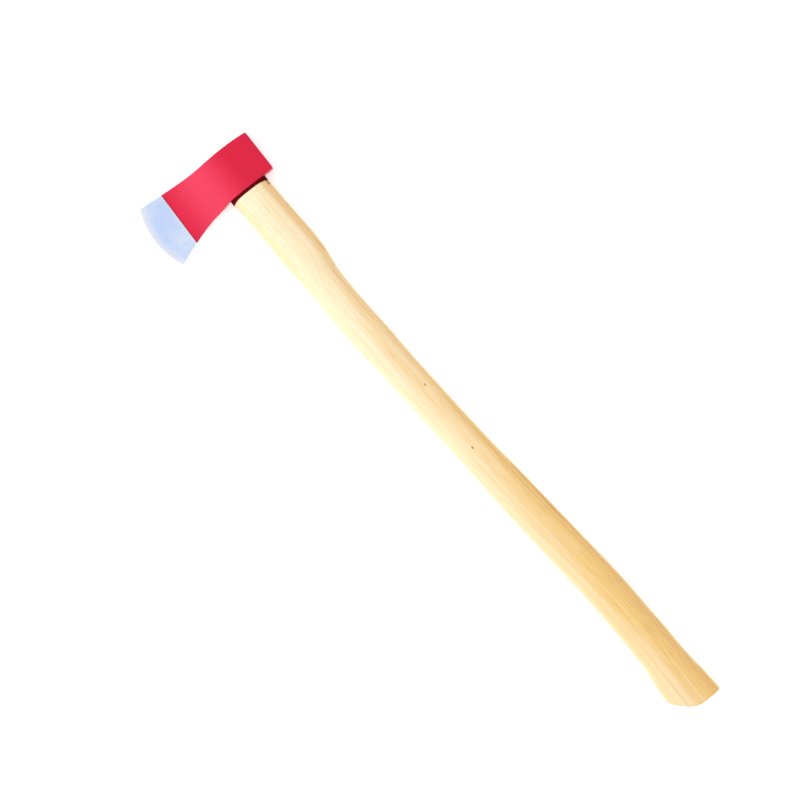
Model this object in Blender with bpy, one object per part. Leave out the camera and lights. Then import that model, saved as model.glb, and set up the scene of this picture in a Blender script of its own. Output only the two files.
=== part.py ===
"""Fire axe: a forged steel head on an ash handle, held by a wooden wedge and two steel wedges.

The axe lies on its cheek. +X runs up the handle to the head, +Y points to the cutting edge and +Z
is the thickness. While a piece is built, X is its height above the underside of the head and Y its
distance from the poll face. The empty that all pieces hang from then brings the middle of the
underside of the whole axe's box to the origin.
"""

import bisect
import math

import bmesh
import bpy
import numpy as np
from mathutils import Vector

# Driving sizes, in metres

FIT_GAP = 0.0003  # between two pieces that touch on the real axe

HEAD_LENGTH = 0.1722  # poll face to the middle of the cutting edge
POLL_HEIGHT = 0.0565
POLL_THICKNESS = 0.0300
POLL_WALL = 0.016  # solid steel between the poll face and the eye
EYE_LENGTH = 0.050  # at the underside, along the head
EYE_WIDTH = 0.019  # at the underside, across the head
EYE_FLARE = 0.003  # how much longer and wider the eye is at the top
EYE_WALL = 0.005  # steel beside the eye, at its widest
CROWN_RISE = 0.0020  # rise of the top edge over the eye
WAIST_RISE = 0.0004  # rise of the top edge at the lowest place of the blade
TOE_RISE = 0.0066  # upper corner of the cutting edge above the poll
HEEL_DROP = 0.0258  # lower corner of the cutting edge below the underside
EDGE_RADIUS = 0.104
EDGE_THICKNESS = 0.0004
GRIND_WIDTH = 0.010  # final bevel along the cutting edge
GRIND_THICKNESS = 0.0044  # blade thickness where that bevel starts
BLADE_CROWN = 0.10  # how much thinner the blade is at its top and bottom edge, as a share
HEAD_ROUND = 0.0016  # radius of the head's long edges and of the poll's edges

HANDLE_LENGTH = 0.8518  # underside of the head to the flat end of the foot
SET_BACK = 0.0454  # centre line of the foot behind the centre of the eye
SHOULDER_STEP = 0.0016  # shoulder beyond the eye, at each end
SHOULDER_SHELF = 0.0055  # shoulder beyond the eye, at each side
SHOULDER_DROP = 0.0036  # how far the shoulder falls towards its two ends
SHOULDER_ROUND = 0.0014
SWELL_WIDTH = 0.0540  # widest place below the head
SHAFT_WIDTH = 0.0462
WAIST_WIDTH = 0.0450  # narrowest place of the shaft
GRIP_WIDTH = 0.0513
FOOT_NECK_WIDTH = 0.0532
FOOT_WIDTH = 0.0617  # across the toe of the foot
FOOT_CUT_BACK = 0.0265  # from the flat end up to the toe
FOOT_ROUND = 0.003
SHAFT_THICKNESS = 0.0270
FOOT_THICKNESS = 0.0305
SHOULDER_LENGTH = 0.180  # below the head, as long on a longer handle
FOOT_LENGTH = 0.132  # above the flat end, as long on a longer handle

SEAL_THICKNESS = 0.0028
TENON_RECESS = 0.0008  # top of the tenon below the top edge of the poll
KERF_DEPTH = 0.040
KERF_WEDGE_THICKNESS = 0.0070  # at its top
KERF_WEDGE_TIP = 0.0015
STEEL_WEDGE_COVER = 0.00145  # wood left between a steel wedge's tip and the side of the tenon
STEEL_WEDGE_DEPTH = 0.025
STEEL_WEDGE_THICKNESS = 0.0030
STEEL_WEDGE_TIP = 0.0008
STEEL_WEDGE_SPACING = 0.022

OVAL_POWER = 2.4  # 2 is an ellipse, and more is squarer
CUT_MARGIN = 0.004  # how far a cutter reaches past the surface that it opens

# How finely the solids are divided

OVAL_POINTS = 40
CHEEK_STEPS = 8
CORNER_STEPS = 3
EYE_RINGS = 12
BLADE_RINGS = 16
GRIND_RINGS = 4
FOOT_RINGS = 18
SHAFT_RINGS = 22
SHOULDER_RINGS = 17
TENON_RINGS = 4

# Sizes that follow from those

EYE_CENTRE = POLL_WALL + EYE_LENGTH / 2
EYE_FRONT = POLL_WALL + EYE_LENGTH
FLAT_END = EYE_FRONT + 2 * SHOULDER_STEP  # the underside is flat a little past the shoulder
BLADE_LENGTH = HEAD_LENGTH - EYE_FRONT
CHEEK_THICKNESS = EYE_WIDTH + EYE_FLARE + 2 * EYE_WALL
TOE_HEIGHT = POLL_HEIGHT + TOE_RISE
EDGE_MIDDLE = (TOE_HEIGHT - HEEL_DROP) / 2
SHOULDER_WIDTH = EYE_LENGTH + 2 * SHOULDER_STEP
SHOULDER_THICKNESS = EYE_WIDTH + 2 * SHOULDER_SHELF
TENON_TOP = POLL_HEIGHT - TENON_RECESS
KERF_BOTTOM = TENON_TOP - KERF_DEPTH
STEEL_WEDGE_BOTTOM = TENON_TOP - STEEL_WEDGE_DEPTH
FOOT_END = -HANDLE_LENGTH


def smooth_curve(points, place):
    """The value at a place on the smooth curve through (place, value) points. It never passes them."""
    places = [point[0] for point in points]
    slopes = [(b[1] - a[1]) / (b[0] - a[0]) for a, b in zip(points, points[1:])]

    def tangent(index):
        before = slopes[max(index - 1, 0)]
        after = slopes[min(index, len(slopes) - 1)]
        if before * after <= 0:
            return 0.0
        return 2 * before * after / (before + after)

    place = min(max(place, places[0]), places[-1])
    start = min(bisect.bisect_right(places, place), len(slopes)) - 1
    span = places[start + 1] - places[start]
    share = (place - places[start]) / span
    first = points[start][1]
    rise = points[start + 1][1] - first
    bend_in = tangent(start) * span - rise
    bend_out = rise - tangent(start + 1) * span
    blend = bend_in * (1 - share) + bend_out * share
    return first + rise * share + share * (1 - share) * blend


def loft(name, rings):
    """A closed mesh through rings of equal length. A ring's second half mirrors its first across Z,
    so each end is closed by strips between the two halves, which fit a bent ring too."""
    mesh = bmesh.new()
    rows = [[mesh.verts.new(point) for point in ring] for ring in rings]
    count = len(rings[0])
    for lower, upper in zip(rows, rows[1:]):
        for k in range(count):
            after = (k + 1) % count
            mesh.faces.new((lower[k], lower[after], upper[after], upper[k]))
    for row in (rows[0], rows[-1]):
        for k in range(count // 2 - 1):
            mesh.faces.new((row[k], row[k + 1], row[-k - 2], row[-k - 1]))
    bmesh.ops.triangulate(mesh, faces=mesh.faces)  # a Boolean needs flat faces
    return as_object(name, mesh)


def as_object(name, mesh):
    bmesh.ops.recalc_face_normals(mesh, faces=mesh.faces)
    data = bpy.data.meshes.new(name)
    mesh.to_mesh(data)
    mesh.free()
    return bpy.data.objects.new(name, data)


def tapered_block(name, top, bottom, place):
    """A wedge: top and bottom are each (height, length along Y, thickness along Z)."""
    mesh = bmesh.new()
    bmesh.ops.create_cube(mesh, size=1)
    for vert in mesh.verts:
        height, length, thickness = top if vert.co.x > 0 else bottom
        vert.co = Vector((height, place + vert.co.y * length, vert.co.z * thickness))
    return as_object(name, mesh)


def oval(centre, half_width, half_thickness, height):
    """One ring of the handle or the eye. height is a number, or a function of the place along Y."""
    ring = []
    for step in range(OVAL_POINTS):
        angle = (step + 0.5) / OVAL_POINTS * 2 * math.pi
        along = math.copysign(abs(math.cos(angle)) ** (2 / OVAL_POWER), math.cos(angle))
        across = math.copysign(abs(math.sin(angle)) ** (2 / OVAL_POWER), math.sin(angle))
        place = centre + half_width * along
        ring.append((height(place) if callable(height) else height, place, half_thickness * across))
    return ring


def cut(piece, cutter):
    cutter.hide_render = True
    cutter.display_type = "WIRE"
    difference = piece.modifiers.new(cutter.name, "BOOLEAN")
    difference.operation = "DIFFERENCE"
    difference.solver = "EXACT"
    difference.object = cutter


def finish(piece, colour, roughness, metallic=0.0, smooth_under=math.radians(35)):
    """Gives the piece its own material, and shades it smooth except at its edges."""
    material = bpy.data.materials.new(piece.name)
    material.use_nodes = True
    shader = material.node_tree.nodes["Principled BSDF"]
    shader.inputs["Base Color"].default_value = (*colour, 1)
    shader.inputs["Roughness"].default_value = roughness
    shader.inputs["Metallic"].default_value = metallic
    piece.data.materials.append(material)
    piece.data.shade_smooth()
    piece.data.set_sharp_from_angle(angle=smooth_under)


# Head


def edge_drop(height):
    """How far the cutting edge has curved back at this height."""
    return EDGE_RADIUS - math.sqrt(EDGE_RADIUS**2 - (height - EDGE_MIDDLE) ** 2)


def bend_share(station):
    """0 at the eye and 1 at the cutting edge: how far a ring of the head follows that edge's arc."""
    return max(0.0, (station - EYE_FRONT) / BLADE_LENGTH)


def height_at(outline, station):
    """Where the bent ring of this station meets an outline of (place, height) points."""
    height = smooth_curve(outline, station)
    for _ in range(8):
        height = smooth_curve(outline, station - bend_share(station) * edge_drop(height))
    return height


def on_blade(share):
    return EYE_FRONT + share * BLADE_LENGTH


TOP_EDGE = (
    (0, POLL_HEIGHT),
    (0.6 * EYE_CENTRE, POLL_HEIGHT + 0.9 * CROWN_RISE),
    (EYE_CENTRE, POLL_HEIGHT + CROWN_RISE),
    (on_blade(0.18), POLL_HEIGHT + WAIST_RISE),
    (on_blade(0.47), POLL_HEIGHT + 0.3 * TOE_RISE),
    (HEAD_LENGTH - edge_drop(TOE_HEIGHT), TOE_HEIGHT),
)
BOTTOM_EDGE = (
    (0, 0),
    (FLAT_END, 0),
    (on_blade(0.09), -0.06 * HEEL_DROP),
    (on_blade(0.33), -0.22 * HEEL_DROP),
    (on_blade(0.52), -0.42 * HEEL_DROP),
    (HEAD_LENGTH - edge_drop(-HEEL_DROP), -HEEL_DROP),
)
HEAD_THICKNESS = (
    (0, POLL_THICKNESS),
    (0.9 * POLL_WALL, CHEEK_THICKNESS),
    (EYE_CENTRE + 0.1 * EYE_LENGTH, CHEEK_THICKNESS),
    (EYE_FRONT, 0.86 * CHEEK_THICKNESS),
    (on_blade(0.18), 0.66 * CHEEK_THICKNESS),
    (on_blade(0.41), 0.47 * CHEEK_THICKNESS),
    (on_blade(0.61), 0.33 * CHEEK_THICKNESS),
    (HEAD_LENGTH - GRIND_WIDTH, GRIND_THICKNESS),
    (HEAD_LENGTH, EDGE_THICKNESS),
)
HEAD_CROWN = (
    (EYE_FRONT, 0),
    (on_blade(0.4), BLADE_CROWN),
    (HEAD_LENGTH - GRIND_WIDTH, BLADE_CROWN),
    (HEAD_LENGTH, 0),
)


def head_ring(station, inset=0.0):
    """One ring round the head, from its underside up the +Z cheek and down the other."""
    top = height_at(TOP_EDGE, station) - inset
    bottom = height_at(BOTTOM_EDGE, station) + inset
    middle = (top + bottom) / 2
    half_height = (top - bottom) / 2
    half_thickness = smooth_curve(HEAD_THICKNESS, station) / 2 - inset
    crown = smooth_curve(HEAD_CROWN, station)
    corner = min(HEAD_ROUND, 0.8 * half_thickness)
    edge_thickness = half_thickness * (1 - crown)

    def corner_points(side):
        points = []
        for step in range(CORNER_STEPS + 1):
            angle = step / CORNER_STEPS * math.pi / 2
            height = middle + side * (half_height - corner + corner * math.cos(angle))
            points.append((height, edge_thickness - corner + corner * math.sin(angle)))
        return points

    half = corner_points(-1)
    for step in range(1, CHEEK_STEPS):
        reach = 2 * step / CHEEK_STEPS - 1
        thickness = half_thickness * (1 - crown * reach**2)
        half.append((middle + reach * (half_height - corner), thickness))
    half += corner_points(1)[::-1]
    outline = half + [(height, -across) for height, across in half[::-1]]
    bend = bend_share(station)
    return [(height, station - bend * edge_drop(height), across) for height, across in outline]


def make_head():
    """The forging, before its eye is cut."""
    rings = []
    for step in range(CORNER_STEPS):
        angle = step / CORNER_STEPS * math.pi / 2
        inset = HEAD_ROUND * (1 - math.sin(angle))
        rings.append(head_ring(HEAD_ROUND * (1 - math.cos(angle)), inset))
    grind_line = HEAD_LENGTH - GRIND_WIDTH
    for station in np.linspace(HEAD_ROUND, FLAT_END, EYE_RINGS, endpoint=False):
        rings.append(head_ring(station))
    for station in np.linspace(FLAT_END, grind_line, BLADE_RINGS, endpoint=False):
        rings.append(head_ring(station))
    for station in np.linspace(grind_line, HEAD_LENGTH, GRIND_RINGS):
        rings.append(head_ring(station))
    return loft("axe_head", rings)


def make_eye_cutter():
    top = POLL_HEIGHT + CROWN_RISE + CUT_MARGIN
    return loft("eye_cutter", [eye_ring(height) for height in (-CUT_MARGIN, top)])


# Eye, and the tenon that fills it


def eye_half_sizes(height):
    """Half the eye's length and width at this height."""
    flare = EYE_FLARE * height / POLL_HEIGHT
    return (EYE_LENGTH + flare) / 2, (EYE_WIDTH + flare) / 2


def eye_ring(height, clearance=0.0, bent=None):
    """One ring of the eye. With a clearance it is a ring of the tenon, or of the seal round it."""
    length, width = eye_half_sizes(height)
    return oval(EYE_CENTRE, length - clearance, width - clearance, bent or height)


def oval_share(share):
    """How much of an oval's half width is left at a share of its half length, or the other way."""
    return (1 - share**OVAL_POWER) ** (1 / OVAL_POWER)


def tenon_reach(height, across):
    """How far from its middle along Y the tenon still has this half thickness."""
    length, width = eye_half_sizes(height)
    return (length - FIT_GAP) * oval_share(across / (width - FIT_GAP))


def tenon_half_thickness(height, along):
    """Half the tenon's thickness at this distance from its middle along Y."""
    length, width = eye_half_sizes(height)
    return (width - FIT_GAP) * oval_share(along / (length - FIT_GAP))


# Handle


def from_head(distance):
    return -distance


def from_foot(distance):
    return FOOT_END + distance


def on_shaft(share):
    """A share of the way from the end of the shoulder to the start of the foot."""
    start = from_head(SHOULDER_LENGTH)
    return start + share * (from_foot(FOOT_LENGTH) - start)


HANDLE_SET_BACK = (
    (from_foot(0), 1.02 * SET_BACK),
    (from_foot(0.052), 0.985 * SET_BACK),
    (from_foot(0.077), SET_BACK),
    (on_shaft(1), 0.965 * SET_BACK),
    (on_shaft(0.89), 0.907 * SET_BACK),
    (on_shaft(0.78), 0.787 * SET_BACK),
    (on_shaft(0.59), 0.588 * SET_BACK),
    (on_shaft(0.30), 0.309 * SET_BACK),
    (on_shaft(0.11), 0.160 * SET_BACK),
    (on_shaft(0), 0.090 * SET_BACK),
    (from_head(0.150), 0.082 * SET_BACK),
    (from_head(0.112), 0.096 * SET_BACK),
    (from_head(0.045), 0.049 * SET_BACK),
    (from_head(0), 0),
)
HANDLE_WIDTH = (
    (from_foot(0), 1.03 * FOOT_WIDTH),
    (from_foot(0.027), FOOT_WIDTH),
    (from_foot(0.052), (FOOT_NECK_WIDTH + FOOT_WIDTH) / 2),
    (from_foot(0.077), FOOT_NECK_WIDTH),
    (on_shaft(0.88), GRIP_WIDTH),
    (on_shaft(0.77), 0.985 * GRIP_WIDTH),
    (on_shaft(0.57), (GRIP_WIDTH + WAIST_WIDTH) / 2),
    (on_shaft(0.46), WAIST_WIDTH),
    (on_shaft(0.22), WAIST_WIDTH),
    (on_shaft(0.11), 1.015 * SHAFT_WIDTH),
    (on_shaft(0), SHAFT_WIDTH),
    (from_head(0.154), 1.005 * SHAFT_WIDTH),
    (from_head(0.118), 0.965 * SWELL_WIDTH),
    (from_head(0.095), SWELL_WIDTH),
    (from_head(0.045), 0.975 * SWELL_WIDTH),
    (from_head(0), SHOULDER_WIDTH),
)
HANDLE_THICKNESS = (
    (from_foot(0), FOOT_THICKNESS),
    (from_foot(0.077), FOOT_THICKNESS),
    (on_shaft(0.6), SHAFT_THICKNESS),
    (on_shaft(0), SHAFT_THICKNESS),
    (from_head(0.095), SHOULDER_THICKNESS),
    (from_head(0), SHOULDER_THICKNESS),
)


def back_edge(height):
    centre = EYE_CENTRE - smooth_curve(HANDLE_SET_BACK, height)
    return centre - smooth_curve(HANDLE_WIDTH, height) / 2


def belly_edge(height):
    centre = EYE_CENTRE - smooth_curve(HANDLE_SET_BACK, height)
    return centre + smooth_curve(HANDLE_WIDTH, height) / 2


def handle_ring(height):
    back = back_edge(height)
    belly = belly_edge(height)
    thickness = smooth_curve(HANDLE_THICKNESS, height)
    return oval((back + belly) / 2, (belly - back) / 2, thickness / 2, height)


def foot_ring(rise, inset=0.0):
    """A ring this far above the foot's end. Its belly side is cut back, fully at the end itself."""
    bend = max(0.0, 1 - rise / (3 * FOOT_CUT_BACK))
    height = FOOT_END + rise
    back = back_edge(height)
    belly = belly_edge(height + bend * FOOT_CUT_BACK)
    flat = back + 0.4 * (belly - back)

    def bent(place):
        return height + bend * FOOT_CUT_BACK * (max(0.0, place - flat) / (belly - flat)) ** 2

    thickness = smooth_curve(HANDLE_THICKNESS, height)
    return oval((back + belly) / 2, (belly - back) / 2 - inset, thickness / 2 - inset, bent)


def shoulder_height(place):
    """Height of the shoulder that the seal sits on: it falls towards its two ends."""
    reach = abs(place - EYE_CENTRE) / (SHOULDER_WIDTH / 2)
    return -(SEAL_THICKNESS + 2 * FIT_GAP) - SHOULDER_DROP * min(reach, 1.0) ** 4


def shoulder_ring(drop, inset=0.0):
    """A ring this far below the shoulder, bent as the shoulder is."""
    height = -drop
    back = back_edge(height)
    belly = belly_edge(height)
    thickness = smooth_curve(HANDLE_THICKNESS, height)
    return oval(
        (back + belly) / 2,
        (belly - back) / 2 - inset,
        thickness / 2 - inset,
        lambda place: shoulder_height(place) - drop,
    )


def make_handle():
    """One piece of ash: foot, shaft, shoulder and tenon, before it is sawn and notched."""
    rings = []
    for step in range(CORNER_STEPS + 1):
        angle = step / CORNER_STEPS * math.pi / 2
        inset = FOOT_ROUND * (1 - math.sin(angle))
        rings.append(foot_ring(FOOT_ROUND * (1 - math.cos(angle)), inset))
    for rise in np.linspace(FOOT_ROUND, FOOT_LENGTH, FOOT_RINGS)[1:]:
        rings.append(foot_ring(rise))
    for height in np.linspace(from_foot(FOOT_LENGTH), from_head(SHOULDER_LENGTH), SHAFT_RINGS)[1:]:
        rings.append(handle_ring(height))
    below_shoulder = from_head(5 * SHOULDER_DROP)
    for height in np.linspace(from_head(SHOULDER_LENGTH), below_shoulder, SHOULDER_RINGS)[1:]:
        rings.append(handle_ring(height))
    for step in range(CORNER_STEPS + 1):
        angle = step / CORNER_STEPS * math.pi / 2
        inset = SHOULDER_ROUND * (1 - math.cos(angle))
        rings.append(shoulder_ring(SHOULDER_ROUND * (1 - math.sin(angle)), inset))
    rings.append(eye_ring(0, FIT_GAP, bent=shoulder_height))
    for height in np.linspace(0, TENON_TOP, TENON_RINGS):
        rings.append(eye_ring(height, FIT_GAP))
    return loft("handle", rings)


# Seal


def make_seal():
    """The ring that closes the gap between the underside of the head and the handle's shoulder."""

    def on_shoulder(place):
        return shoulder_height(place) + FIT_GAP

    outer = (EYE_CENTRE, SHOULDER_WIDTH / 2, SHOULDER_THICKNESS / 2)
    inner_lower = eye_ring(0, -FIT_GAP, bent=on_shoulder)
    inner_upper = eye_ring(0, -FIT_GAP, bent=lambda place: -FIT_GAP)
    rings = [inner_lower, oval(*outer, on_shoulder), oval(*outer, -FIT_GAP), inner_upper]
    mesh = bmesh.new()
    rows = [[mesh.verts.new(point) for point in ring] for ring in rings]
    for row, after in zip(rows, rows[1:] + rows[:1]):
        for k in range(OVAL_POINTS):
            following = (k + 1) % OVAL_POINTS
            mesh.faces.new((row[k], row[following], after[following], after[k]))
    return as_object("shoulder_seal", mesh)


# Wedges


def make_kerf_wedge():
    """The hardwood wedge, as long as the tenon and thinner towards its tip."""
    top = (TENON_TOP, 2 * tenon_reach(TENON_TOP, KERF_WEDGE_THICKNESS / 2), KERF_WEDGE_THICKNESS)
    tip = (KERF_BOTTOM, 2 * tenon_reach(KERF_BOTTOM, KERF_WEDGE_TIP / 2), KERF_WEDGE_TIP)
    return tapered_block("kerf_wedge", top, tip, EYE_CENTRE)


def make_kerf_cutter():
    """The saw cut that the hardwood wedge fills. It runs out of both ends of the tenon."""
    length = EYE_LENGTH + EYE_FLARE + CUT_MARGIN
    slope = (KERF_WEDGE_THICKNESS - KERF_WEDGE_TIP) / KERF_DEPTH
    top_thickness = KERF_WEDGE_THICKNESS + 2 * FIT_GAP + slope * CUT_MARGIN
    top = (TENON_TOP + CUT_MARGIN, length, top_thickness)
    tip = (KERF_BOTTOM - FIT_GAP, length, KERF_WEDGE_TIP + 2 * FIT_GAP)
    return tapered_block("kerf_cutter", top, tip, EYE_CENTRE)


def steel_wedge_width():
    """As wide as the tenon allows at the corner of the wedge's tip, less the wood that covers it."""
    corner = STEEL_WEDGE_SPACING / 2 + STEEL_WEDGE_TIP / 2
    return 2 * (tenon_half_thickness(STEEL_WEDGE_BOTTOM, corner) - FIT_GAP - STEEL_WEDGE_COVER)


def make_steel_wedge(name, place):
    """A thin steel wedge across the kerf."""
    top = (TENON_TOP, STEEL_WEDGE_THICKNESS, steel_wedge_width())
    tip = (STEEL_WEDGE_BOTTOM, STEEL_WEDGE_TIP, steel_wedge_width())
    return tapered_block(name, top, tip, place)


def make_notch_cutter(name, place):
    """The cut that a steel wedge makes in the tenon and in the hardwood wedge."""
    width = steel_wedge_width() + 2 * FIT_GAP
    slope = (STEEL_WEDGE_THICKNESS - STEEL_WEDGE_TIP) / STEEL_WEDGE_DEPTH
    top_thickness = STEEL_WEDGE_THICKNESS + 2 * FIT_GAP + slope * CUT_MARGIN
    top = (TENON_TOP + CUT_MARGIN, top_thickness, width)
    tip = (STEEL_WEDGE_BOTTOM - FIT_GAP, STEEL_WEDGE_TIP + 2 * FIT_GAP, width)
    return tapered_block(name, top, tip, place)


# Assembly


def clear_scene():
    for thing in list(bpy.data.objects):
        bpy.data.objects.remove(thing, do_unlink=True)


def new_collection(name):
    collection = bpy.data.collections.new(name)
    bpy.context.scene.collection.children.link(collection)
    return collection


def hang(things, collection, frame):
    for thing in things:
        collection.objects.link(thing)
        thing.parent = frame


def make_axe():
    head = make_head()
    handle = make_handle()
    seal = make_seal()
    kerf_wedge = make_kerf_wedge()
    front = EYE_CENTRE + STEEL_WEDGE_SPACING / 2
    rear = EYE_CENTRE - STEEL_WEDGE_SPACING / 2
    steel_wedges = [
        make_steel_wedge("steel_wedge_front", front),
        make_steel_wedge("steel_wedge_rear", rear),
    ]

    eye = make_eye_cutter()
    kerf = make_kerf_cutter()
    notches = [
        make_notch_cutter("notch_cutter_front", front),
        make_notch_cutter("notch_cutter_rear", rear),
    ]
    cut(head, eye)
    cut(handle, kerf)
    for notch in notches:
        cut(handle, notch)
        cut(kerf_wedge, notch)

    finish(head, (0.63, 0.01, 0.04), 0.45)
    finish(handle, (0.82, 0.66, 0.38), 0.50)
    finish(seal, (0.09, 0.002, 0.002), 0.70)
    finish(kerf_wedge, (0.25, 0.11, 0.035), 0.65)
    for wedge in steel_wedges:
        finish(wedge, (0.26, 0.26, 0.28), 0.45, metallic=1.0)

    points = np.array([vert.co for piece in (head, handle) for vert in piece.data.vertices])
    low = points.min(axis=0)
    high = points.max(axis=0)
    axe = new_collection("fire_axe")
    frame = bpy.data.objects.new("axe_frame", None)
    frame.location = (-(low[0] + high[0]) / 2, -(low[1] + high[1]) / 2, -low[2])
    axe.objects.link(frame)
    hang([head, handle, seal, kerf_wedge] + steel_wedges, axe, frame)
    hang([eye, kerf] + notches, new_collection("cutters"), frame)


clear_scene()
make_axe()
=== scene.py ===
"""The finished fire axe: an enamelled head with a bare ground bit on a varnished ash handle.

The axe lies on its cheek. +X runs up the handle to the head, +Y points to the cutting edge and +Z
comes out of the upper cheek. Each section makes one piece, in the order of putting the axe
together. While a piece is made, X is its height above the underside of the head, Y its distance
from the poll face and Z its distance from the middle plane. All sizes are in metres.
"""

import bisect
import math

import bmesh
import bpy
import numpy as np
from mathutils import Matrix, Vector, noise


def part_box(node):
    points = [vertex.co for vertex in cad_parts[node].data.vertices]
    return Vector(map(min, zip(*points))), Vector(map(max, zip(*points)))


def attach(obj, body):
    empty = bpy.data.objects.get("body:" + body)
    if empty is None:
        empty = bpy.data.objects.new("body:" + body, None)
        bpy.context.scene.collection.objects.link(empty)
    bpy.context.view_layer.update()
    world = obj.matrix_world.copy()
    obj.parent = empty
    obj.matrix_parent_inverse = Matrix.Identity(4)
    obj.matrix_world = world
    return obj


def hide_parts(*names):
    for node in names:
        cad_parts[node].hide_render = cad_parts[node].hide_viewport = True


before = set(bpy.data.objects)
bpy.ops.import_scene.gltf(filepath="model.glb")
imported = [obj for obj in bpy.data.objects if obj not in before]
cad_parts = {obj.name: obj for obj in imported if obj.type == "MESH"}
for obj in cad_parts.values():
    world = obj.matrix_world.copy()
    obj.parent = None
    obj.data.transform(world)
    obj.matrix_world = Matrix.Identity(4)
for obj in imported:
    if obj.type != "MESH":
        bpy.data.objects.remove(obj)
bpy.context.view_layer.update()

# ------------------------------------------------------------------------------------------------
# Axe head: a single drop forging of carbon steel with the eye punched through it. It is sprayed
# with red stoving enamel up to a masked line, beyond which the bit is belt-ground bare, and the
# cutting edge gets a second, steeper bevel.

head_low, head_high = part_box("axe_head")
HEEL_DROP = 0.0258  # lower corner of the cutting edge below the underside
TOE_RISE = 0.0066  # upper corner of the cutting edge above the poll
HEAD_LENGTH = head_high.y - head_low.y
CHEEK_THICKNESS = head_high.z - head_low.z
POLL_HEIGHT = head_high.x - head_low.x - HEEL_DROP - TOE_RISE
ON_AXE = Matrix.Translation((head_low.x + HEEL_DROP, head_low.y, (head_low.z + head_high.z) / 2))

POLL_THICKNESS = 0.0300
POLL_WALL = 0.016  # solid steel between the poll face and the eye
EYE_LENGTH = 0.050  # at the underside, along the head
EYE_WIDTH = 0.019  # at the underside, across the head
EYE_FLARE = 0.003  # how much longer and wider the eye is at the top
EYE_CENTRE = POLL_WALL + EYE_LENGTH / 2
EYE_FRONT = POLL_WALL + EYE_LENGTH
EYE_RIM = 0.0009  # chamfer round the eye's upper opening
CROWN_RISE = 0.0020  # rise of the top edge over the eye
WAIST_RISE = 0.0004  # rise of the top edge at the lowest place of the blade
EDGE_RADIUS = 0.104
EDGE_THICKNESS = 0.0004
GRIND_WIDTH = 0.010  # second bevel along the cutting edge
GRIND_THICKNESS = 0.0044  # blade thickness where that bevel starts
BLADE_CROWN = 0.10  # how much thinner the blade is at its top and bottom edge, as a share
HEAD_ROUND = 0.0016  # radius of the head's long edges and of the poll's edges
BLADE_LENGTH = HEAD_LENGTH - EYE_FRONT
TOE_HEIGHT = POLL_HEIGHT + TOE_RISE
EDGE_MIDDLE = (TOE_HEIGHT - HEEL_DROP) / 2
SHOULDER_STEP = 0.0016  # the handle's shoulder beyond the eye, at each end
FLAT_END = EYE_FRONT + 2 * SHOULDER_STEP  # the underside is flat a little past the shoulder

PAINT_LINE = 0.1320  # from the poll face, level with the underside
PAINT_LEAN = 0.021  # how far the masked line leans back for each unit of height
PAINT_DEPTH = 0.00010  # enamel above the bare steel
PAINT_SLOPE = 0.0002  # width of the enamel's edge
GRIND_FADE = 0.014  # the bare steel is level with the enamel again this far from the line
DENT_DEPTH = 0.00016  # shallow unevenness that the forging dies leave
DENT_SIZE = 0.021

OVAL_POWER = 2.4  # 2 is an ellipse, and more is squarer
CUT_MARGIN = 0.004  # how far a cutter reaches past the surface that it opens
MEET_ROUNDS = 8  # more than enough for a bent ring to settle on its outline
POLL_ROUND_RINGS = 5
EYE_RINGS = 36
BLADE_RINGS = 56
GRIND_RINGS = 12


def smooth_curve(points, place):
    """The value at a place on the smooth curve through (place, value) points. It never passes them."""
    places = [point[0] for point in points]
    slopes = [(b[1] - a[1]) / (b[0] - a[0]) for a, b in zip(points, points[1:])]

    def tangent(index):
        before = slopes[max(index - 1, 0)]
        after = slopes[min(index, len(slopes) - 1)]
        if before * after <= 0:
            return 0.0
        return 2 * before * after / (before + after)

    place = min(max(place, places[0]), places[-1])
    start = min(bisect.bisect_right(places, place), len(slopes)) - 1
    span = places[start + 1] - places[start]
    share = (place - places[start]) / span
    first = points[start][1]
    rise = points[start + 1][1] - first
    bend_in = tangent(start) * span - rise
    bend_out = rise - tangent(start + 1) * span
    blend = bend_in * (1 - share) + bend_out * share
    return first + rise * share + share * (1 - share) * blend


def loft(rings):
    """A closed mesh through rings of equal length. A ring's second half mirrors its first across Z,
    so each end is closed by strips between the two halves."""
    mesh = bmesh.new()
    rows = [[mesh.verts.new(point) for point in ring] for ring in rings]
    count = len(rings[0])
    for lower, upper in zip(rows, rows[1:]):
        for k in range(count):
            after = (k + 1) % count
            mesh.faces.new((lower[k], lower[after], upper[after], upper[k]))
    for row in (rows[0], rows[-1]):
        for k in range(count // 2 - 1):
            mesh.faces.new((row[k], row[k + 1], row[-k - 2], row[-k - 1]))
    bmesh.ops.triangulate(mesh, faces=mesh.faces)  # a Boolean needs flat faces
    return mesh


def new_piece(name, mesh, *materials):
    """Moves the mesh to its place on the axe and makes it an object of the scene."""
    bmesh.ops.recalc_face_normals(mesh, faces=mesh.faces)
    mesh.transform(ON_AXE)
    data = bpy.data.meshes.new(name)
    mesh.to_mesh(data)
    mesh.free()
    piece = bpy.data.objects.new(name, data)
    bpy.context.scene.collection.objects.link(piece)
    for material in materials:
        data.materials.append(material)
    return piece


def cut_out(piece, cutters):
    """Cuts the cutters out of the piece and removes them."""
    for cutter in cutters:
        difference = piece.modifiers.new(cutter.name, "BOOLEAN")
        difference.operation = "DIFFERENCE"
        difference.solver = "EXACT"
        difference.object = cutter
    graph = bpy.context.evaluated_depsgraph_get()
    piece.data = bpy.data.meshes.new_from_object(piece.evaluated_get(graph))
    piece.data.name = piece.name
    piece.modifiers.clear()
    for cutter in cutters:
        bpy.data.objects.remove(cutter)


def smooth(piece, sharp_from):
    """Shades the piece smooth, apart from edges that turn by more than this many degrees."""
    piece.data.shade_smooth()
    piece.data.set_sharp_from_angle(angle=math.radians(sharp_from))


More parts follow.
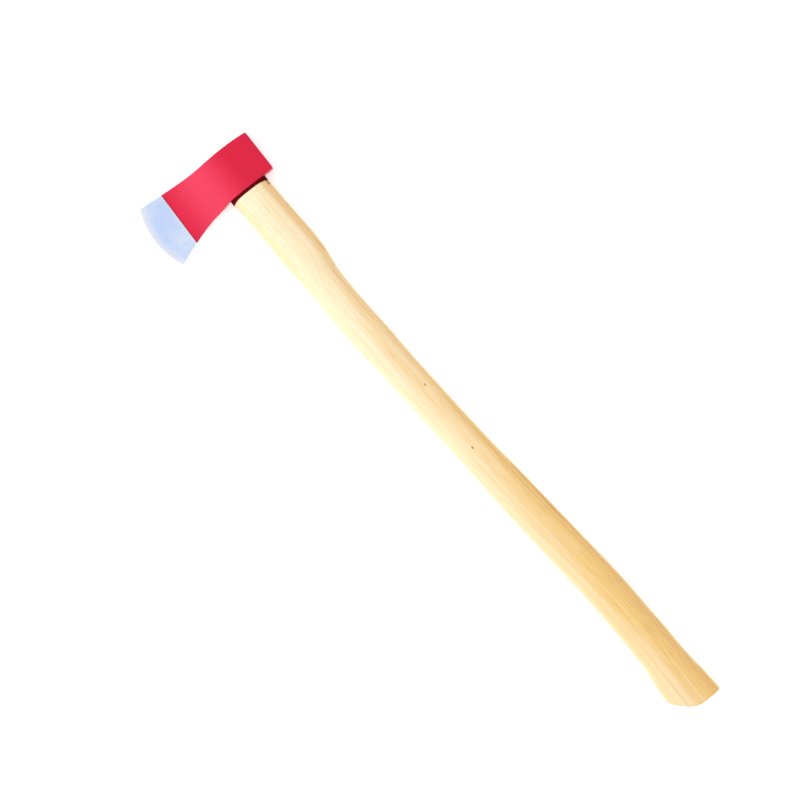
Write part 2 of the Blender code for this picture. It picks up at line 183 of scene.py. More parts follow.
def edge_drop(height):
    """How far the cutting edge has curved back at this height."""
    return EDGE_RADIUS - math.sqrt(EDGE_RADIUS**2 - (height - EDGE_MIDDLE) ** 2)


def bend_share(station):
    """0 at the eye and 1 at the cutting edge: how far a ring of the head follows that edge's arc."""
    return max(0.0, (station - EYE_FRONT) / BLADE_LENGTH)


def height_at(outline, station):
    """Where the bent ring of this station meets an outline of (place, height) points."""
    height = smooth_curve(outline, station)
    for _ in range(MEET_ROUNDS):
        height = smooth_curve(outline, station - bend_share(station) * edge_drop(height))
    return height


def on_blade(share):
    return EYE_FRONT + share * BLADE_LENGTH


grind_line = HEAD_LENGTH - GRIND_WIDTH
TOP_EDGE = (
    (0, POLL_HEIGHT),
    (0.6 * EYE_CENTRE, POLL_HEIGHT + 0.9 * CROWN_RISE),
    (EYE_CENTRE, POLL_HEIGHT + CROWN_RISE),
    (on_blade(0.18), POLL_HEIGHT + WAIST_RISE),
    (on_blade(0.47), POLL_HEIGHT + 0.3 * TOE_RISE),
    (HEAD_LENGTH - edge_drop(TOE_HEIGHT), TOE_HEIGHT),
)
BOTTOM_EDGE = (
    (0, 0),
    (FLAT_END, 0),
    (on_blade(0.09), -0.06 * HEEL_DROP),
    (on_blade(0.33), -0.22 * HEEL_DROP),
    (on_blade(0.52), -0.42 * HEEL_DROP),
    (HEAD_LENGTH - edge_drop(-HEEL_DROP), -HEEL_DROP),
)
HEAD_THICKNESS = (
    (0, POLL_THICKNESS),
    (0.9 * POLL_WALL, CHEEK_THICKNESS),
    (EYE_CENTRE + 0.1 * EYE_LENGTH, CHEEK_THICKNESS),
    (EYE_FRONT, 0.86 * CHEEK_THICKNESS),
    (on_blade(0.18), 0.66 * CHEEK_THICKNESS),
    (on_blade(0.41), 0.47 * CHEEK_THICKNESS),
    (on_blade(0.61), 0.33 * CHEEK_THICKNESS),
    (grind_line, GRIND_THICKNESS),
    (HEAD_LENGTH, EDGE_THICKNESS),
)
HEAD_CROWN = (
    (EYE_FRONT, 0),
    (on_blade(0.4), BLADE_CROWN),
    (grind_line, BLADE_CROWN),
    (HEAD_LENGTH, 0),
)


def head_ring(station, inset=0.0, flat_steps=6, corner_steps=5, cheek_steps=30):
    """One ring round the head: half the bottom edge, the +Z cheek, half the top edge, and back."""
    top = height_at(TOP_EDGE, station) - inset
    bottom = height_at(BOTTOM_EDGE, station) + inset
    middle = (top + bottom) / 2
    half_height = (top - bottom) / 2
    half_thickness = smooth_curve(HEAD_THICKNESS, station) / 2 - inset
    crown = smooth_curve(HEAD_CROWN, station)
    corner = min(HEAD_ROUND, 0.8 * half_thickness)
    edge_thickness = half_thickness * (1 - crown)

    def edge_points(side):
        points = []
        for step in range(flat_steps):
            across = (step + 0.5) / flat_steps * (edge_thickness - corner)
            points.append((middle + side * half_height, across))
        for step in range(corner_steps + 1):
            angle = step / corner_steps * math.pi / 2
            height = middle + side * (half_height - corner + corner * math.cos(angle))
            points.append((height, edge_thickness - corner + corner * math.sin(angle)))
        return points

    half = edge_points(-1)
    for step in range(1, cheek_steps):
        reach = 2 * step / cheek_steps - 1
        thickness = half_thickness * (1 - crown * reach**2)
        half.append((middle + reach * (half_height - corner), thickness))
    half += edge_points(1)[::-1]
    outline = half + [(height, -across) for height, across in half[::-1]]
    bend = bend_share(station)
    return [(height, station - bend * edge_drop(height), across) for height, across in outline]


def oval(centre, half_width, half_thickness, height, points=96):
    """One ring of the handle or the eye. height is a number, or a function of the place along Y."""
    ring = []
    for step in range(points):
        angle = (step + 0.5) / points * 2 * math.pi
        along = math.copysign(abs(math.cos(angle)) ** (2 / OVAL_POWER), math.cos(angle))
        across = math.copysign(abs(math.sin(angle)) ** (2 / OVAL_POWER), math.sin(angle))
        place = centre + half_width * along
        ring.append((height(place) if callable(height) else height, place, half_thickness * across))
    return ring


def eye_ring(height, clearance=0.0, bent=None, points=96):
    """One ring of the eye. With a clearance it is a ring of the tenon, or of the seal round it."""
    flare = EYE_FLARE * height / POLL_HEIGHT
    length = (EYE_LENGTH + flare) / 2 - clearance
    width = (EYE_WIDTH + flare) / 2 - clearance
    return oval(EYE_CENTRE, length, width, bent or height, points)


def forge_head():
    """The forging before its eye is punched: rounded poll, eye, blade and second bevel."""
    rings = []
    for step in range(POLL_ROUND_RINGS):
        angle = step / POLL_ROUND_RINGS * math.pi / 2
        inset = HEAD_ROUND * (1 - math.sin(angle))
        rings.append(head_ring(HEAD_ROUND * (1 - math.cos(angle)), inset))
    for station in np.linspace(HEAD_ROUND, EYE_FRONT, EYE_RINGS, endpoint=False):
        rings.append(head_ring(station))
    for station in np.linspace(EYE_FRONT, grind_line, BLADE_RINGS, endpoint=False):
        rings.append(head_ring(station))
    for station in np.linspace(grind_line, HEAD_LENGTH, GRIND_RINGS):
        rings.append(head_ring(station))
    return loft(rings)


def eye_punch():
    """The cutter for the eye, which also chamfers the rim of its upper opening."""

    def rim(place):
        return smooth_curve(TOP_EDGE, place) - EYE_RIM

    def above(place):
        return smooth_curve(TOP_EDGE, place) + CUT_MARGIN

    return loft([
        eye_ring(-CUT_MARGIN),
        eye_ring(POLL_HEIGHT / 2),
        eye_ring(POLL_HEIGHT, bent=rim),
        eye_ring(POLL_HEIGHT, -EYE_RIM - CUT_MARGIN, bent=above),
    ])


def past_paint(point):
    """How far a point of the finished head lies beyond the masked line, towards the cutting edge."""
    local = ON_AXE.inverted() @ point
    return (local.y + PAINT_LEAN * local.x - PAINT_LINE) / math.hypot(1, PAINT_LEAN)


def mask_bit(head):
    """Splits the head's faces at the masked line, makes those beyond it bare steel and sinks them
    by the thickness of the enamel. Before the line, the forging's slight unevenness is added."""
    mesh = bmesh.new()
    mesh.from_mesh(head.data)
    along = Vector((PAINT_LEAN, 1, 0)).normalized()
    on_line = ON_AXE @ Vector((0, PAINT_LINE, 0))
    for distance in (0, PAINT_SLOPE):
        everything = mesh.verts[:] + mesh.edges[:] + mesh.faces[:]
        bmesh.ops.bisect_plane(mesh, geom=everything, plane_co=on_line + along * distance,
                               plane_no=along, dist=1e-6)
    mesh.normal_update()
    for face in mesh.faces:
        face.material_index = int(past_paint(face.calc_center_median()) > 0)
    moved = []
    for vert in mesh.verts:
        beyond = past_paint(vert.co)
        if beyond > PAINT_SLOPE / 2:
            depth = PAINT_DEPTH * max(0.0, 1 - beyond / GRIND_FADE)
        else:
            near_line = min(1.0, -min(beyond, 0.0) / DENT_SIZE)
            depth = DENT_DEPTH * near_line * (0.5 + 0.5 * noise.noise(vert.co / DENT_SIZE))
        moved.append((vert, vert.co - vert.normal * depth))
    for vert, place in moved:
        vert.co = place
    mesh.to_mesh(head.data)
    mesh.free()


def linear(colour):
    """An sRGB hex colour in the linear values that a shader takes."""
    channels = [int(colour[k:k + 2], 16) / 255 for k in (1, 3, 5)]
    return (*(c / 12.92 if c <= 0.04045 else ((c + 0.055) / 1.055) ** 2.4 for c in channels), 1)


def add_node(tree, kind, inputs=(), **settings):
    """Adds a node. inputs pairs a socket with its value, or with the output that feeds it."""
    node = tree.nodes.new("ShaderNode" + kind)
    for setting, value in settings.items():
        setattr(node, setting, value)
    for socket, value in dict(inputs).items():
        if isinstance(value, bpy.types.NodeSocket):
            tree.links.new(value, node.inputs[socket])
        else:
            node.inputs[socket].default_value = value
    return node


def new_material(name, **sockets):
    """A material and its Principled shader, whose plain values are set here."""
    material = bpy.data.materials.new(name)
    material.use_nodes = True
    shader = material.node_tree.nodes["Principled BSDF"]
    for socket, value in sockets.items():
        shader.inputs[socket.replace("_", " ")].default_value = value
    return material, material.node_tree, shader


def past_line(tree, place):
    """How far a point lies beyond the masked line, towards the cutting edge."""
    from_line = add_node(tree, "VectorMath", {0: place, 1: ON_AXE @ Vector((0, PAINT_LINE, 0))},
                         operation="SUBTRACT")
    beyond = add_node(tree, "VectorMath", {0: from_line.outputs[0], 1: (PAINT_LEAN, 1, 0)},
                      operation="DOT_PRODUCT")
    return beyond.outputs["Value"]


def dress(tree, shader, colour, roughness, relief, strength, depth):
    """Feeds the shader its colour, its roughness and a bump of this depth."""
    bump = add_node(tree, "Bump", {"Height": relief, "Strength": strength, "Distance": depth})
    tree.links.new(colour, shader.inputs["Base Color"])
    tree.links.new(roughness, shader.inputs["Roughness"])
    tree.links.new(bump.outputs[0], shader.inputs["Normal"])


# Red stoving enamel, sprayed and baked: it gives a satin gloss with a faint orange peel. Over the
# waist it is painted lighter, a painted highlight where the blade starts to slope towards the light,
# and it has gathered dark along the masked line.
ENAMEL_RED = "#D00438"
ENAMEL_DEEP = "#BC042E"
ENAMEL_PAINTED_HIGHLIGHT = "#D83454"
ENAMEL_AT_LINE = "#5E0820"
PAINTED_HIGHLIGHT_AT = 0.085  # distance from the poll face of the waist, where the painted highlight is brightest
PAINTED_HIGHLIGHT_REACH = 0.054
LINE_WIDTH = 0.0014  # of the gathered enamel
LINE_SHARP = 0.3  # share of that width which is fully dark
ENAMEL_CLOUD = 0.035
ORANGE_PEEL = 0.0014
ORANGE_PEEL_DEPTH = 0.00004
ENAMEL_GLOSSY = 0.42
ENAMEL_SATIN = 0.50

enamel, tree, shader = new_material("red_stoving_enamel", IOR=1.48, Specular_IOR_Level=0.35)
place = add_node(tree, "TexCoord").outputs["Object"]
cloud = add_node(tree, "TexNoise", {"Vector": place, "Scale": 1 / ENAMEL_CLOUD, "Detail": 2})
red = add_node(tree, "Mix", {0: cloud.outputs["Fac"], 6: linear(ENAMEL_DEEP),
                             7: linear(ENAMEL_RED)}, data_type="RGBA")
# Painted highlight: the red turns lighter towards the waist of the blade.
from_waist = add_node(tree, "SeparateXYZ", {0: place})
from_waist = add_node(tree, "Math", {0: from_waist.outputs["Y"], 1: head_low.y + PAINTED_HIGHLIGHT_AT},
                      operation="SUBTRACT")
from_waist = add_node(tree, "Math", {0: from_waist.outputs[0]}, operation="ABSOLUTE")
waist_highlight = add_node(tree, "MapRange", {"Value": from_waist.outputs[0], "From Min": 0,
                                   "From Max": PAINTED_HIGHLIGHT_REACH, "To Min": 1, "To Max": 0},
                interpolation_type="SMOOTHSTEP")
red = add_node(tree, "Mix", {0: waist_highlight.outputs[0], 6: red.outputs[2], 7: linear(ENAMEL_PAINTED_HIGHLIGHT)},
               data_type="RGBA")
at_line = add_node(tree, "MapRange", {"Value": past_line(tree, place), "From Min": -LINE_WIDTH,
                                      "From Max": -LINE_SHARP * LINE_WIDTH, "To Min": 0,
                                      "To Max": 1})
red = add_node(tree, "Mix", {0: at_line.outputs[0], 6: red.outputs[2], 7: linear(ENAMEL_AT_LINE)},
               data_type="RGBA")
gloss = add_node(tree, "MapRange", {"Value": cloud.outputs["Fac"], "To Min": ENAMEL_GLOSSY,
                                    "To Max": ENAMEL_SATIN})
peel = add_node(tree, "TexNoise", {"Vector": place, "Scale": 1 / ORANGE_PEEL, "Detail": 1})
dress(tree, shader, red.outputs[2], gloss.outputs[0], peel.outputs["Fac"], 0.25,
      ORANGE_PEEL_DEPTH)

# Carbon steel, belt-ground towards the edge: fine scratches that run from the enamel to the edge
# spread its reflections into a pale sheen. The second bevel is finished on a hone, and it is painted
# lighter: a painted highlight for the light that the bevel catches.
STEEL = "#C8DBFF"
STEEL_BRIGHT = "#E2EEFF"
STEEL_BEVEL_HIGHLIGHT = "#FAF8F8"
STEEL_AT_LINE = "#F0E4EE"
BRIGHT_LINE_WIDTH = 0.00196  # where the belt has run up against the enamel
BEVEL_HIGHLIGHT_SHARE = 0.7
STEEL_CLOUD = 0.035
SCRATCH_WIDTH = 0.0007  # a belt leaves scratches of 0.1 mm, drawn coarser here so that they show
SCRATCH_LENGTH = 0.030
SCRATCH_DEPTH = 0.00003
STEEL_SMOOTH = 0.30
STEEL_ROUGH = 0.48

steel, tree, shader = new_material("belt_ground_carbon_steel", Metallic=1.0, Anisotropic=0.3)
place = add_node(tree, "TexCoord").outputs["Object"]
stretch = (1 / SCRATCH_WIDTH, 1 / SCRATCH_LENGTH, 1 / SCRATCH_WIDTH)
along_grind = add_node(tree, "Mapping", {"Vector": place, "Scale": stretch})
scratch = add_node(tree, "TexNoise", {"Vector": along_grind.outputs[0], "Scale": 1, "Detail": 3})
cloud = add_node(tree, "TexNoise", {"Vector": place, "Scale": 1 / STEEL_CLOUD, "Detail": 2})
tone = add_node(tree, "Math", {0: scratch.outputs["Fac"], 1: cloud.outputs["Fac"]},
                operation="MULTIPLY")
tone = add_node(tree, "MapRange", {"Value": tone.outputs[0], "From Min": 0.12, "From Max": 0.42})
bare = add_node(tree, "Mix", {0: tone.outputs[0], 6: linear(STEEL), 7: linear(STEEL_BRIGHT)},
                data_type="RGBA")
at_line = add_node(tree, "MapRange", {"Value": past_line(tree, place), "From Min": 0,
                                      "From Max": BRIGHT_LINE_WIDTH, "To Min": 1, "To Max": 0})
bare = add_node(tree, "Mix", {0: at_line.outputs[0], 6: bare.outputs[2],
                              7: linear(STEEL_AT_LINE)}, data_type="RGBA")
# Painted highlight: the steel is lighter over the second bevel, for the light that it catches.
arc_centre = ON_AXE @ Vector((EDGE_MIDDLE, HEAD_LENGTH - EDGE_RADIUS, 0))
from_centre = add_node(tree, "VectorMath", {0: place, 1: arc_centre}, operation="DISTANCE")
bevel_highlight = add_node(tree, "MapRange", {"Value": from_centre.outputs["Value"],
                                    "From Min": EDGE_RADIUS - GRIND_WIDTH,
                                    "From Max": EDGE_RADIUS, "To Min": 0,
                                    "To Max": BEVEL_HIGHLIGHT_SHARE})
bare = add_node(tree, "Mix", {0: bevel_highlight.outputs[0], 6: bare.outputs[2], 7: linear(STEEL_BEVEL_HIGHLIGHT)},
                data_type="RGBA")
rough = add_node(tree, "MapRange", {"Value": scratch.outputs["Fac"], "To Min": STEEL_SMOOTH,
                                    "To Max": STEEL_ROUGH})
dress(tree, shader, bare.outputs[2], rough.outputs[0], scratch.outputs["Fac"], 0.3,
      SCRATCH_DEPTH)

head = new_piece("forged_head", forge_head(), enamel, steel)
cut_out(head, [new_piece("eye_punch", eye_punch())])
mask_bit(head)
smooth(head, sharp_from=30)
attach(head, "root")
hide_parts("axe_head")

# ------------------------------------------------------------------------------------------------
# Handle: one length of ash, turned on a copying lathe to an oval, sanded and clear-varnished. Its
# tenon fills the eye and its foot flares out with a rounded toe that is cut back.

handle_low, handle_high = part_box("handle")
TENON_TOP = handle_high.x - ON_AXE.translation.x
FOOT_END = handle_low.x - ON_AXE.translation.x
SNUG = 0.0001  # hairline between two pieces that are driven together
SET_BACK = 0.0454  # centre line of the foot behind the centre of the eye
SHOULDER_SHELF = 0.0055  # shoulder beyond the eye, at each side
SHOULDER_DROP = 0.0036  # how far the shoulder falls towards its two ends
SHOULDER_ROUND = 0.0014
SWELL_WIDTH = 0.0540  # widest place below the head
SHAFT_WIDTH = 0.0462
WAIST_WIDTH = 0.0450  # narrowest place of the shaft
GRIP_WIDTH = 0.0513
FOOT_NECK_WIDTH = 0.0532
FOOT_WIDTH = 0.0615  # across the toe of the foot
FOOT_CUT_BACK = 0.0265  # from the flat end up to the toe
FOOT_ROUND = 0.003
SHAFT_THICKNESS = 0.0270
FOOT_THICKNESS = 0.0305
SHOULDER_LENGTH = 0.180  # below the head
FOOT_LENGTH = 0.132  # above the flat end
ROUND_STEPS = 6  # rings round the edge of the foot and of the shoulder
FOOT_RINGS = 54
SHAFT_RINGS = 150
SHOULDER_RINGS = 60
TENON_RINGS = 8
SEAL_THICKNESS = 0.0028
SHOULDER_WIDTH = EYE_LENGTH + 2 * SHOULDER_STEP
SHOULDER_THICKNESS = EYE_WIDTH + 2 * SHOULDER_SHELF
KERF_DEPTH = 0.040
KERF_WEDGE_THICKNESS = 0.0070  # at its top
KERF_WEDGE_TIP = 0.0015
STEEL_WEDGE_DEPTH = 0.025
STEEL_WEDGE_THICKNESS = 0.0030
STEEL_WEDGE_TIP = 0.0008
STEEL_WEDGE_SPACING = 0.022
KNOTS = ((-0.3276, 0.0184), (-0.4256, 0.0206))  # height and distance from the poll face
KNOT_RADIUS = 0.0011
KNOT_STRETCH = 1.6  # along the grain
KNOT_DEPTH = 0.00025


def on_shaft(share):
    """A share of the way from the end of the shoulder to the start of the foot."""
    return -SHOULDER_LENGTH + share * (FOOT_END + FOOT_LENGTH + SHOULDER_LENGTH)


HANDLE_SET_BACK = (
    (FOOT_END, 1.02 * SET_BACK),
    (FOOT_END + 0.052, 0.985 * SET_BACK),
    (FOOT_END + 0.077, SET_BACK),
    (on_shaft(1), 0.965 * SET_BACK),
    (on_shaft(0.89), 0.907 * SET_BACK),
    (on_shaft(0.78), 0.787 * SET_BACK),
    (on_shaft(0.59), 0.588 * SET_BACK),
    (on_shaft(0.30), 0.309 * SET_BACK),
    (on_shaft(0.11), 0.160 * SET_BACK),
    (on_shaft(0), 0.090 * SET_BACK),
    (-0.150, 0.082 * SET_BACK),
    (-0.112, 0.096 * SET_BACK),
    (-0.045, 0.049 * SET_BACK),
    (0, 0),
)
HANDLE_WIDTH = (
    (FOOT_END, 1.03 * FOOT_WIDTH),
    (FOOT_END + 0.027, FOOT_WIDTH),
    (FOOT_END + 0.052, (FOOT_NECK_WIDTH + FOOT_WIDTH) / 2),
    (FOOT_END + 0.077, FOOT_NECK_WIDTH),
    (on_shaft(0.88), GRIP_WIDTH),
    (on_shaft(0.77), 0.985 * GRIP_WIDTH),
    (on_shaft(0.57), (GRIP_WIDTH + WAIST_WIDTH) / 2),
    (on_shaft(0.46), WAIST_WIDTH),
    (on_shaft(0.22), WAIST_WIDTH),
    (on_shaft(0.11), 1.015 * SHAFT_WIDTH),
    (on_shaft(0), SHAFT_WIDTH),
    (-0.154, 1.005 * SHAFT_WIDTH),
    (-0.118, 0.965 * SWELL_WIDTH),
    (-0.095, SWELL_WIDTH),
    (-0.045, 0.975 * SWELL_WIDTH),
    (0, SHOULDER_WIDTH),
)
HANDLE_THICKNESS = (
    (FOOT_END, FOOT_THICKNESS),
    (FOOT_END + 0.077, FOOT_THICKNESS),
    (on_shaft(0.6), SHAFT_THICKNESS),
    (on_shaft(0), SHAFT_THICKNESS),
    (-0.095, SHOULDER_THICKNESS),
    (0, SHOULDER_THICKNESS),
)


def back_edge(height):
    centre = EYE_CENTRE - smooth_curve(HANDLE_SET_BACK, height)
    return centre - smooth_curve(HANDLE_WIDTH, height) / 2


def belly_edge(height):
    centre = EYE_CENTRE - smooth_curve(HANDLE_SET_BACK, height)
    return centre + smooth_curve(HANDLE_WIDTH, height) / 2


def handle_ring(height):
    back = back_edge(height)
    belly = belly_edge(height)
    thickness = smooth_curve(HANDLE_THICKNESS, height)
    return oval((back + belly) / 2, (belly - back) / 2, thickness / 2, height)


def foot_ring(rise, inset=0.0):
    """A ring this far above the foot's end. Its belly side is cut back, fully at the end itself."""
    bend = max(0.0, 1 - rise / (3 * FOOT_CUT_BACK))
    height = FOOT_END + rise
    back = back_edge(height)
    belly = belly_edge(height + bend * FOOT_CUT_BACK)
    flat = back + 0.4 * (belly - back)

    def bent(place):
        return height + bend * FOOT_CUT_BACK * (max(0.0, place - flat) / (belly - flat)) ** 2

    thickness = smooth_curve(HANDLE_THICKNESS, height)
    return oval((back + belly) / 2, (belly - back) / 2 - inset, thickness / 2 - inset, bent)


def shoulder_height(place):
    """Height of the shoulder that the seal sits on: it falls towards its two ends."""
    reach = abs(place - EYE_CENTRE) / (SHOULDER_WIDTH / 2)
    return -(SEAL_THICKNESS + 2 * SNUG) - SHOULDER_DROP * min(reach, 1.0) ** 4


def shoulder_ring(drop, inset=0.0):
    """A ring this far below the shoulder, bent as the shoulder is."""
    back = back_edge(-drop)
    belly = belly_edge(-drop)
    thickness = smooth_curve(HANDLE_THICKNESS, -drop)
    return oval((back + belly) / 2, (belly - back) / 2 - inset, thickness / 2 - inset,
                lambda place: shoulder_height(place) - drop)


def turn_handle():
    """The handle before its tenon is sawn and notched."""
    rings = []
    for step in range(ROUND_STEPS + 1):
        angle = step / ROUND_STEPS * math.pi / 2
        inset = FOOT_ROUND * (1 - math.sin(angle))
        rings.append(foot_ring(FOOT_ROUND * (1 - math.cos(angle)), inset))
    for rise in np.linspace(FOOT_ROUND, FOOT_LENGTH, FOOT_RINGS)[1:]:
        rings.append(foot_ring(rise))
    for height in np.linspace(FOOT_END + FOOT_LENGTH, -SHOULDER_LENGTH, SHAFT_RINGS)[1:]:
        rings.append(handle_ring(height))
    for height in np.linspace(-SHOULDER_LENGTH, -5 * SHOULDER_DROP, SHOULDER_RINGS)[1:]:
        rings.append(handle_ring(height))
    for step in range(ROUND_STEPS + 1):
        angle = step / ROUND_STEPS * math.pi / 2
        inset = SHOULDER_ROUND * (1 - math.cos(angle))
        rings.append(shoulder_ring(SHOULDER_ROUND * (1 - math.sin(angle)), inset))
    rings.append(eye_ring(0, SNUG, bent=shoulder_height))
    for height in np.linspace(0, TENON_TOP, TENON_RINGS):
        rings.append(eye_ring(height, SNUG))
    return loft(rings)


def tapered_block(top, bottom, place, cuts=0):
    """A wedge: top and bottom are each (height, length along Y, thickness along Z)."""
    mesh = bmesh.new()
    bmesh.ops.create_cube(mesh, size=1)
    if cuts:
        bmesh.ops.subdivide_edges(mesh, edges=mesh.edges, cuts=cuts, use_grid_fill=True)
    for vert in mesh.verts:
        share = vert.co.x + 0.5
        height, length, thickness = (b + (t - b) * share for t, b in zip(top, bottom))
        vert.co = Vector((height, place + vert.co.y * length, vert.co.z * thickness))
    return mesh


def tenon_reach(height, across):
    """How far from its middle along Y the tenon still has this half thickness."""
    flare = EYE_FLARE * height / POLL_HEIGHT
    share = across / ((EYE_WIDTH + flare) / 2 - SNUG)
    return ((EYE_LENGTH + flare) / 2 - SNUG) * (1 - share**OVAL_POWER) ** (1 / OVAL_POWER)


def kerf_saw():
    """The saw cut for the hardwood wedge. It runs out of both ends of the tenon."""
    slope = (KERF_WEDGE_THICKNESS - KERF_WEDGE_TIP) / KERF_DEPTH
    length = EYE_LENGTH + EYE_FLARE + CUT_MARGIN
    top_thickness = KERF_WEDGE_THICKNESS + 2 * SNUG + slope * CUT_MARGIN
    top = (TENON_TOP + CUT_MARGIN, length, top_thickness)
    tip = (TENON_TOP - KERF_DEPTH - SNUG, length, KERF_WEDGE_TIP + 2 * SNUG)
    return tapered_block(top, tip, EYE_CENTRE)


wedge_low, wedge_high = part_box("steel_wedge_front")
STEEL_WEDGE_WIDTH = wedge_high.z - wedge_low.z


def notch_chisel(place):
    """The cut that a steel wedge makes in the tenon and in the hardwood wedge."""
    slope = (STEEL_WEDGE_THICKNESS - STEEL_WEDGE_TIP) / STEEL_WEDGE_DEPTH
    width = STEEL_WEDGE_WIDTH + 2 * SNUG
    top_thickness = STEEL_WEDGE_THICKNESS + 2 * SNUG + slope * CUT_MARGIN
    top = (TENON_TOP + CUT_MARGIN, top_thickness, width)
    tip = (TENON_TOP - STEEL_WEDGE_DEPTH - SNUG, STEEL_WEDGE_TIP + 2 * SNUG, width)
    return tapered_block(top, tip, place)


def sink_knots(mesh):
    """Pin knots stand a little below the sanded face round them."""
    for vert in mesh.verts:
        for height, distance in KNOTS:
            away = math.hypot((vert.co.x - height) / KNOT_STRETCH, vert.co.y - distance)
            if vert.co.z > 0 and away < 4 * KNOT_RADIUS:
                vert.co.z -= KNOT_DEPTH * math.exp(-(away / KNOT_RADIUS) ** 2)


# Ash, lathe-turned, sanded and varnished: a pale ring-porous wood with fine tan dashes, where each
# year's ring starts with open pores. Its heart side, along the back, is golden, most of all at the
# grip, and its sap side is cream. The gold and the darker heart tint along the back are also painted
# shade, for the side that faces away from the light, and the paler wood towards the head is a
# painted highlight. Ends cut across the grain take up more varnish and are browner.
ASH_PALE = "#EBDDBE"
ASH_GOLD = "#E6BF76"
ASH_HEART_AND_SHADE = "#E4B26C"
ASH_SAP = "#DFCC9E"
ASH_EARLY = "#EDE5D2"  # multiplies the wood's colour
ASH_PORE = "#CFBE9F"  # multiplies the wood's colour
ASH_END = "#D8AE74"
KNOT_BROWN = "#6B4A2A"
PITH = Vector((0, 0.062, -0.046))  # the tree's centre lay beside and below the blank
WANDER = 0.010  # how far the grain strays sideways
WANDERS = (4, 14, 14)  # to the metre
RING_SPACING = 0.0021
EARLY_SHARE = 0.40  # of a ring
PORE_WIDTH = 0.0007  # pores are 0.3 mm wide, drawn coarser here so that they show
PORE_LENGTH = 0.024
PORE_STRENGTH = 0.7
STREAK_WIDTH = 0.006
STREAK_LENGTH = 0.16
GOLD_AT = -0.70  # height of the most golden stretch; the paler wood towards the head is a painted highlight
GOLD_REACH = 0.60
# Where each change of colour across the handle starts and ends, from its middle to the belly
GOLD_AND_SHADE_SIDES = (0.022, -0.024)
HEART_AND_SHADE_SIDES = (-0.012, -0.025)
SAP_SIDES = (0.014, 0.027)
SANDING_WIDTH = 0.0005  # drawn coarser than the real 0.1 mm, so that it shows
SANDING_DEPTH = 0.00005
VARNISH_SATIN = 0.42
VARNISH_SUNK = 0.60  # over the pores

ash, tree, shader = new_material("varnished_ash", IOR=1.50, Coat_Weight=0.15, Coat_Roughness=0.30)
place = add_node(tree, "TexCoord").outputs["Object"]

# The grain's own coordinates: the straight tree's, with a slow wander.
follow = add_node(tree, "Attribute", attribute_name="grain").outputs["Vector"]
wander = add_node(tree, "Mapping", {"Vector": follow, "Scale": WANDERS})
wander = add_node(tree, "TexNoise", {"Vector": wander.outputs[0], "Scale": 1, "Detail": 2})
wander = add_node(tree, "VectorMath", {0: wander.outputs["Color"], 1: (0.5, 0.5, 0.5)},
                  operation="SUBTRACT")
grain = add_node(tree, "VectorMath", {0: wander.outputs[0], 1: (0, WANDER, WANDER), 2: follow},
                 operation="MULTIPLY_ADD")

# Year rings round the pith, and the early wood at the start of each.
from_pith = add_node(tree, "VectorMath", {0: grain.outputs[0], 1: PITH}, operation="SUBTRACT")
in_section = add_node(tree, "VectorMath", {0: from_pith.outputs[0], 1: (0, 1, 1)},
                      operation="MULTIPLY")
radius = add_node(tree, "VectorMath", {0: in_section.outputs[0]}, operation="LENGTH")
year = add_node(tree, "Math", {0: radius.outputs["Value"], 1: RING_SPACING}, operation="DIVIDE")
season = add_node(tree, "Math", {0: year.outputs[0]}, operation="FRACT")
early = add_node(tree, "MapRange", {"Value": season.outputs[0], "From Min": 0,
                                    "From Max": EARLY_SHARE, "To Min": 1, "To Max": 0},
                 interpolation_type="SMOOTHSTEP")
streak = add_node(tree, "Mapping", {"Vector": grain.outputs[0],
                                    "Scale": (1 / STREAK_LENGTH, 1 / STREAK_WIDTH,
                                              1 / STREAK_WIDTH)})
streak = add_node(tree, "TexNoise", {"Vector": streak.outputs[0], "Scale": 1, "Detail": 3})
faint = add_node(tree, "MapRange", {"Value": streak.outputs["Fac"], "From Min": 0.40,
                                    "From Max": 0.62, "To Min": 0.25, "To Max": 1})
ring_mark = add_node(tree, "Math", {0: early.outputs[0], 1: faint.outputs[0]},
                     operation="MULTIPLY")

# Colour of the wood between the marks, from the sap side to the heart side. Along the back this is
# partly painted shade, and towards the head a painted highlight.
on_handle = add_node(tree, "SeparateXYZ", {0: follow})
# Paler towards the head: a painted highlight for the brighter light there, over the wood's own golden
# tone at the grip.
along = add_node(tree, "Math", {0: on_handle.outputs["X"], 1: GOLD_AT}, operation="SUBTRACT")
along = add_node(tree, "Math", {0: along.outputs[0]}, operation="ABSOLUTE")
along = add_node(tree, "MapRange", {"Value": along.outputs[0], "From Min": 0.02,
                                    "From Max": GOLD_REACH, "To Min": 0.50, "To Max": -0.35})
# More golden towards the back: the heartwood's colour, together with painted shade on the side away
# from the light.
across = add_node(tree, "MapRange", {"Value": on_handle.outputs["Y"], "From Min": GOLD_AND_SHADE_SIDES[0],
                                     "From Max": GOLD_AND_SHADE_SIDES[1], "To Min": -0.55, "To Max": 0.35})
gold = add_node(tree, "Math", {0: along.outputs[0], 1: across.outputs[0]}, operation="ADD")
gold = add_node(tree, "Math", {0: gold.outputs[0], 1: streak.outputs["Fac"]}, operation="ADD",
                use_clamp=True)
wood = add_node(tree, "Mix", {0: gold.outputs[0], 6: linear(ASH_PALE), 7: linear(ASH_GOLD)},
                data_type="RGBA")
# The heart tint darkens the back edge, heartwood colour and painted shade together; the sap tint dulls
# the belly edge.
for sides, most, tint in ((HEART_AND_SHADE_SIDES, 0.75, ASH_HEART_AND_SHADE), (SAP_SIDES, 1, ASH_SAP)):
    share = add_node(tree, "MapRange", {"Value": on_handle.outputs["Y"], "From Min": sides[0],
                                        "From Max": sides[1], "To Min": 0, "To Max": most})
    wood = add_node(tree, "Mix", {0: share.outputs[0], 6: wood.outputs[2], 7: linear(tint)},
                    data_type="RGBA")

